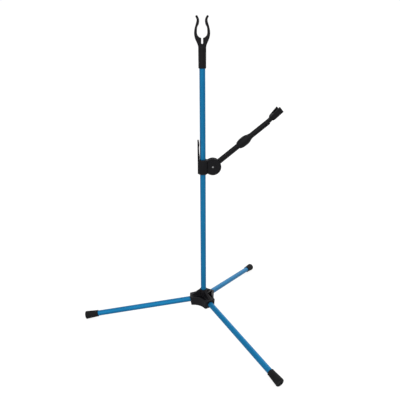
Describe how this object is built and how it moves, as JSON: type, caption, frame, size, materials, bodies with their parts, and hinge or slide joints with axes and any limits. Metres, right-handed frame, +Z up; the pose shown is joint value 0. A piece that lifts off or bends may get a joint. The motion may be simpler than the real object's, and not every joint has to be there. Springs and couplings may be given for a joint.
{
  "type": "bow stand",
  "caption": "Take-down tripod stand: a slim jointed column in a moulded hub with sloping legs, a spring fork on top and a clamp-on tilting arm that ends in a small tilting fork.",
  "frame": {"origin": "on the floor, on the axis of the column", "axes": "+Z up along the column; +X towards the side that the arm reaches to, so the left leg points along -X; +Y to the rear"},
  "size_m": [0.4645, 0.5084, 0.6904],
  "materials": {
    "anodised_blue": "blue anodised tube, satin",
    "black_plastic": "moulded, satin",
    "black_rubber": "matt",
    "steel": "zinc plated",
    "blackened_steel": "black oxide",
    "plain_aluminium": "plain, turned",
    "dark_nylon": "nylon",
    "grey_washer": "acetal"
  },
  "bodies": {
    "hub": {"hub": "black_plastic"},
    "leg_left": {"leg_tube_left": "anodised_blue", "foot_left": "black_rubber"},
    "leg_front": {"leg_tube_front": "anodised_blue", "foot_front": "black_rubber"},
    "leg_rear": {"leg_tube_rear": "anodised_blue", "foot_rear": "black_rubber"},
    "column_lower": {"column_lower_tube": "anodised_blue", "column_ferrule": "plain_aluminium"},
    "column_upper": {"column_upper_tube": "anodised_blue"},
    "top_fork": {"top_fork": "black_plastic"},
    "clamp_liner": {"clamp_liner": "dark_nylon"},
    "clamp": {"clamp_body": "black_plastic", "lever_pin": "blackened_steel", "hinge_bolt": "steel", "bolt_washer": "steel", "hinge_nut": "steel", "friction_washers": "grey_washer"},
    "cam_lever": {"cam_lever": "black_plastic"},
    "arm_inner": {"arm_inner_rod": "black_plastic", "swivel_pin": "steel"},
    "arm_outer": {"arm_collar": "black_plastic", "arm_outer_rod": "black_plastic", "fork_pin": "blackened_steel"},
    "arm_fork": {"arm_fork": "black_plastic"}
  },
  "joints": [
    {"name": "leg_left_pull", "type": "slide", "parent": "hub", "child": "leg_left", "axis": [-0.9869, 0, -0.1616], "range_m": [0, 0.02]},
    {"name": "leg_front_pull", "type": "slide", "parent": "hub", "child": "leg_front", "axis": [0.4934, -0.8546, -0.1616], "range_m": [0, 0.02]},
    {"name": "leg_rear_pull", "type": "slide", "parent": "hub", "child": "leg_rear", "axis": [0.4934, 0.8546, -0.1616], "range_m": [0, 0.02]},
    {"name": "column_lift", "type": "slide", "parent": "hub", "child": "column_lower", "axis": [0, 0, 1], "range_m": [0, 0.0275]},
    {"name": "upper_tube_lift", "type": "slide", "parent": "column_lower", "child": "column_upper", "axis": [0, 0, 1], "range_m": [0, 0.03]},
    {"name": "top_fork_turn", "type": "hinge", "parent": "column_upper", "child": "top_fork", "pos_m": [0, 0, 0.6], "axis": [0, 0, 1], "continuous": true},
    {"name": "clamp_slide", "type": "slide", "parent": "column_lower", "child": "clamp_liner", "axis": [0, 0, 1], "range_m": [-0.283, 0.148]},
    {"name": "clamp_turn", "type": "hinge", "parent": "clamp_liner", "child": "clamp", "pos_m": [0, 0, 0.3805], "axis": [0, 0, 1], "continuous": true},
    {"name": "lever_open", "type": "hinge", "parent": "clamp", "child": "cam_lever", "pos_m": [-0.0094, 0, 0.369], "axis": [0, 1, 0], "range_deg": [-100, 0]},
    {"name": "arm_tilt", "type": "hinge", "parent": "clamp", "child": "arm_inner", "pos_m": [0.022, 0.004, 0.3797], "axis": [0, 1, 0], "range_deg": [-50.8, 129.2]},
    {"name": "arm_twist", "type": "hinge", "parent": "arm_inner", "child": "arm_outer", "pos_m": [0.022, 0.004, 0.3797], "axis": [0.7749, 0, 0.632], "continuous": true},
    {"name": "fork_tilt", "type": "hinge", "parent": "arm_outer", "child": "arm_fork", "pos_m": [0.13747, 0.004, 0.47387], "axis": [-0.617, -0.2164, 0.7566], "range_deg": [-92, 58]}
  ]
}
